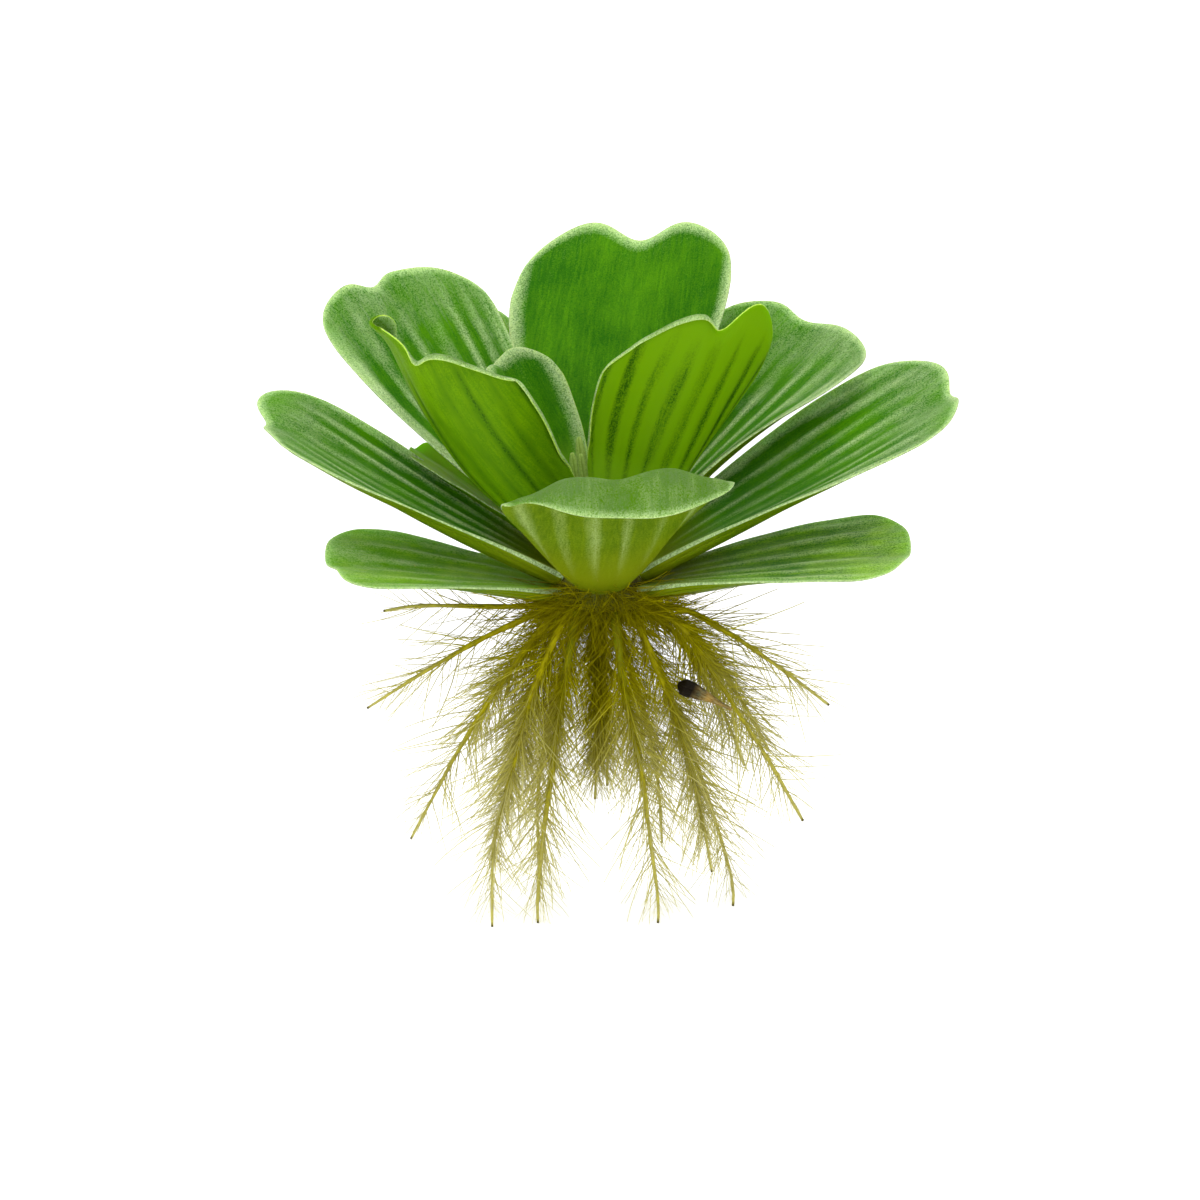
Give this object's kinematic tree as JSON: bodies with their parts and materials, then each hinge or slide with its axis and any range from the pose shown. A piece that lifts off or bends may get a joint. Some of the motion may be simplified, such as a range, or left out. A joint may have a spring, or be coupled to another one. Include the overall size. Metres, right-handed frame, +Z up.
{
  "type": "water lettuce plant",
  "caption": "Floating rosette of velvety, ribbed leaves with notched tips on a short crown, with pale buds in its heart and a beard of feathery roots below.",
  "frame": {"origin": "under the middle of the plant, level with the flat tips of the roots it stands on", "axes": "+Z up, the way the plant grows; +Y away from the side that the rolled front leaf comes out of; +X to the right seen from that side"},
  "size_m": [0.146, 0.1189, 0.1501],
  "materials": {
    "leaf": "matte, velvety with fine pale hairs, slightly see-through at the margins",
    "bud": "matte, fuzzy",
    "crown": "satin, damp",
    "root": "satin, damp and feathery",
    "scrap": "dull, withered"
  },
  "bodies": {
    "root": {"crown": "crown", "bud_low": "bud", "bud_middle": "bud", "bud_high": "bud", "leaf_back_tall": "leaf", "leaf_back_pale": "leaf", "leaf_back_left": "leaf", "leaf_back_right": "leaf", "leaf_inner_left": "leaf", "leaf_inner_right": "leaf", "leaf_inner_small": "leaf", "leaf_front": "leaf", "leaf_left": "leaf", "leaf_left_behind": "leaf", "leaf_right": "leaf", "leaf_low_left": "leaf", "leaf_low_right": "leaf", "leaf_low_back": "leaf", "leaf_low_back_left": "leaf", "leaf_low_back_right": "leaf", "leaf_behind_right": "leaf", "root_01": "root", "root_02": "root", "root_03": "root", "root_04": "root", "root_05": "root", "root_06": "root", "root_07": "root", "root_08": "root", "root_09": "root", "root_10": "root", "root_11": "root", "root_12": "root", "root_13": "root", "root_14": "root", "root_15": "root", "root_16": "root", "root_17": "root", "root_18": "root", "withered_scrap": "scrap"}
  },
  "joints": []
}
